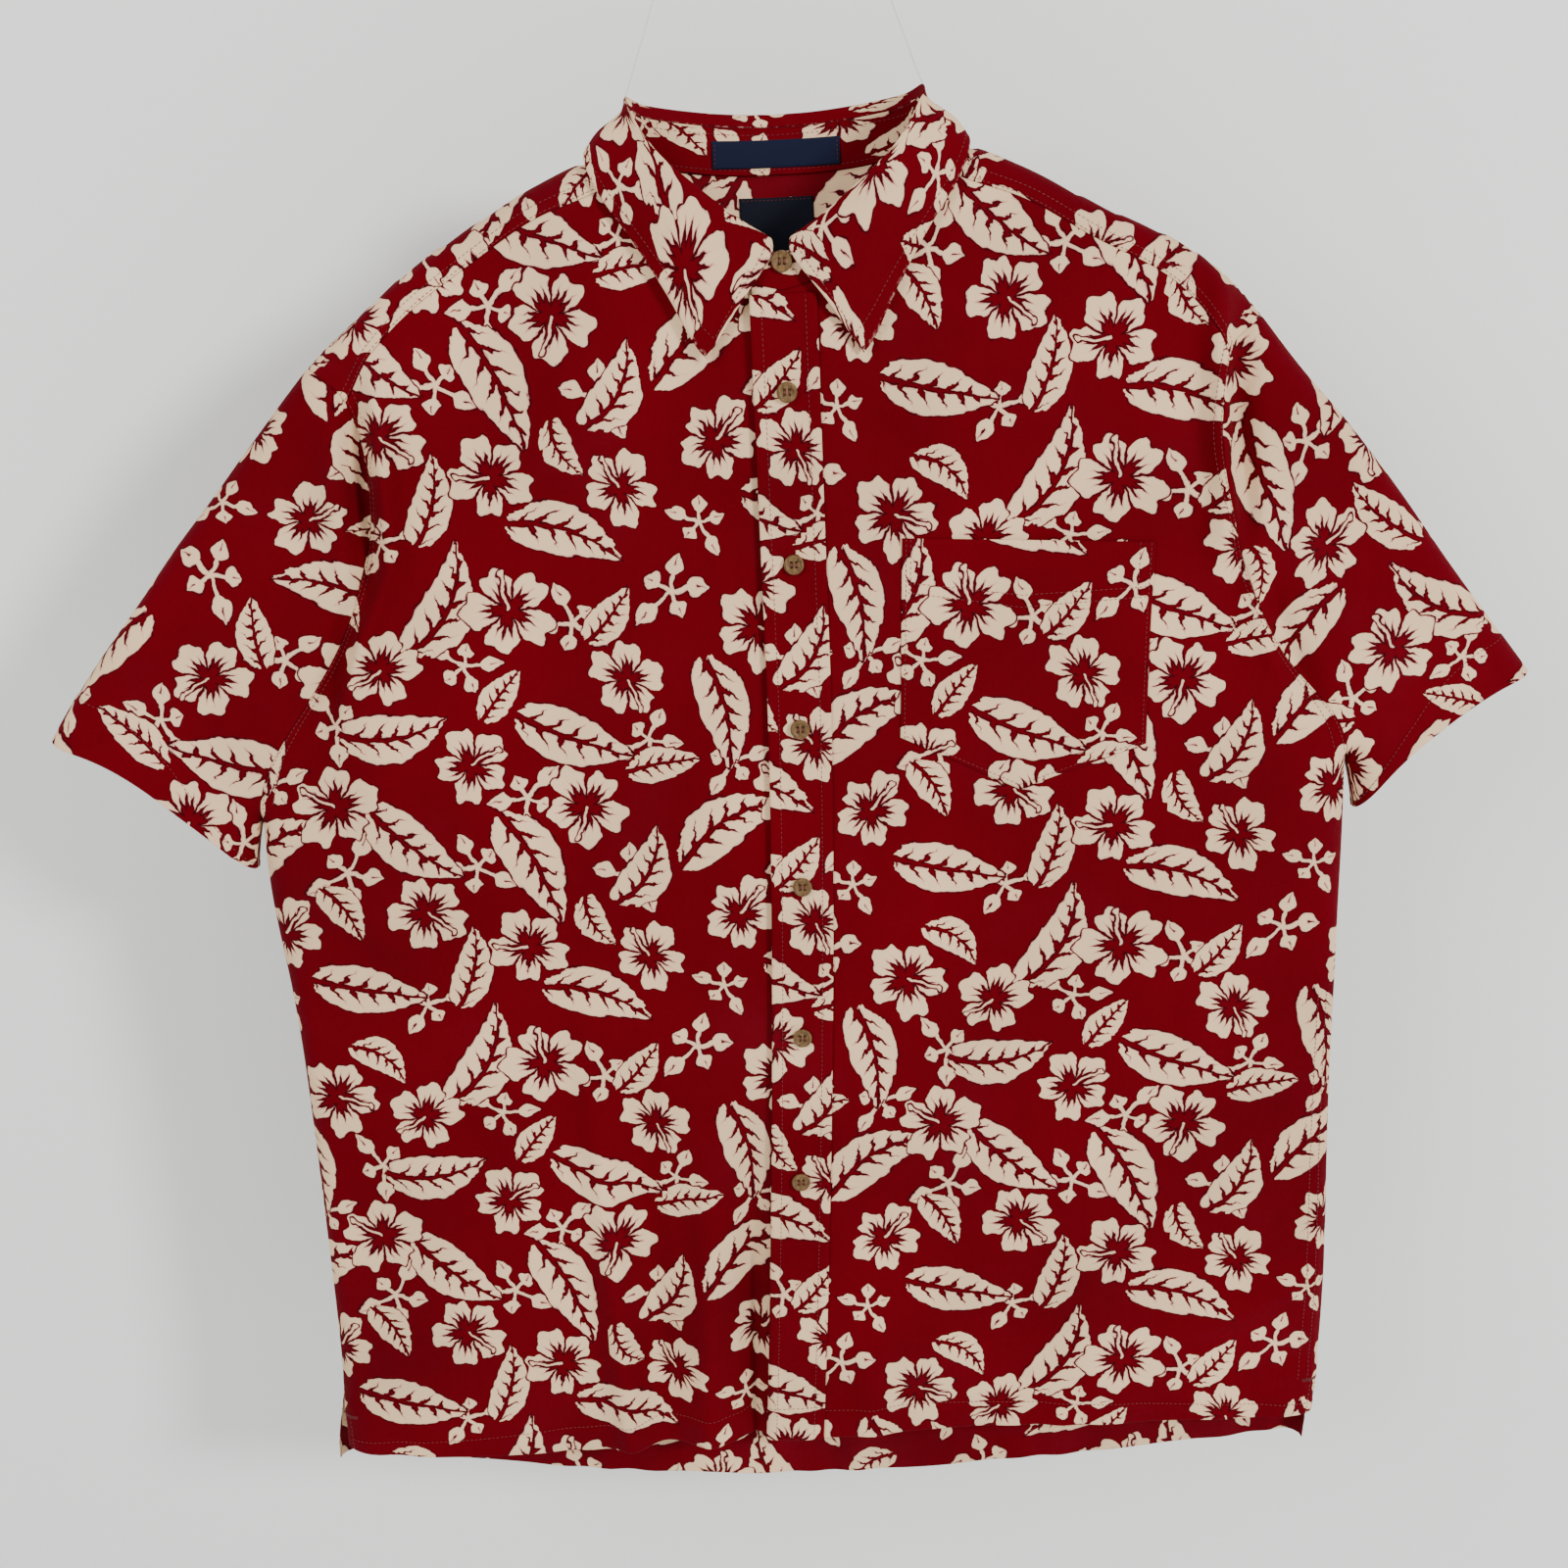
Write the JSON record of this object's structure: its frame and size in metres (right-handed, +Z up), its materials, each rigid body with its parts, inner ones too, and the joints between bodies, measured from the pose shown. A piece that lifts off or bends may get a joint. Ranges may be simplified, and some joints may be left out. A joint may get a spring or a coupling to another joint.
{
  "type": "hawaiian shirt",
  "caption": "Short-sleeved button-front shirt of printed cotton with collar, yoke, chest pocket and side vents, hung flat by thin lines from the collar.",
  "frame": {"origin": "the hanging point, midway between the loops at the upper ends of the two lines that hold the collar", "axes": "+X to the viewer's right along the shoulders, +Y from the buttoned front to the back, +Z up"},
  "size_m": [0.868, 0.0752, 0.9193],
  "materials": {
    "printed_cotton": "plain-woven cotton, red ground with a cream flower and leaf print",
    "button": "turned brown wood, satin",
    "label": "woven navy ribbon, blank",
    "line": "clear nylon line"
  },
  "bodies": {
    "root": {"front_left": "printed_cotton", "front_right": "printed_cotton", "back": "printed_cotton", "yoke": "printed_cotton", "sleeve_left": "printed_cotton", "sleeve_right": "printed_cotton", "placket": "printed_cotton", "pocket": "printed_cotton", "collar_stand": "printed_cotton", "collar_fall": "printed_cotton", "button_1": "button", "button_2": "button", "button_3": "button", "button_4": "button", "button_5": "button", "button_6": "button", "button_collar": "button", "label_stand": "label", "label_yoke": "label", "line_left": "line", "line_right": "line", "loop_left": "line", "loop_right": "line"}
  },
  "joints": []
}
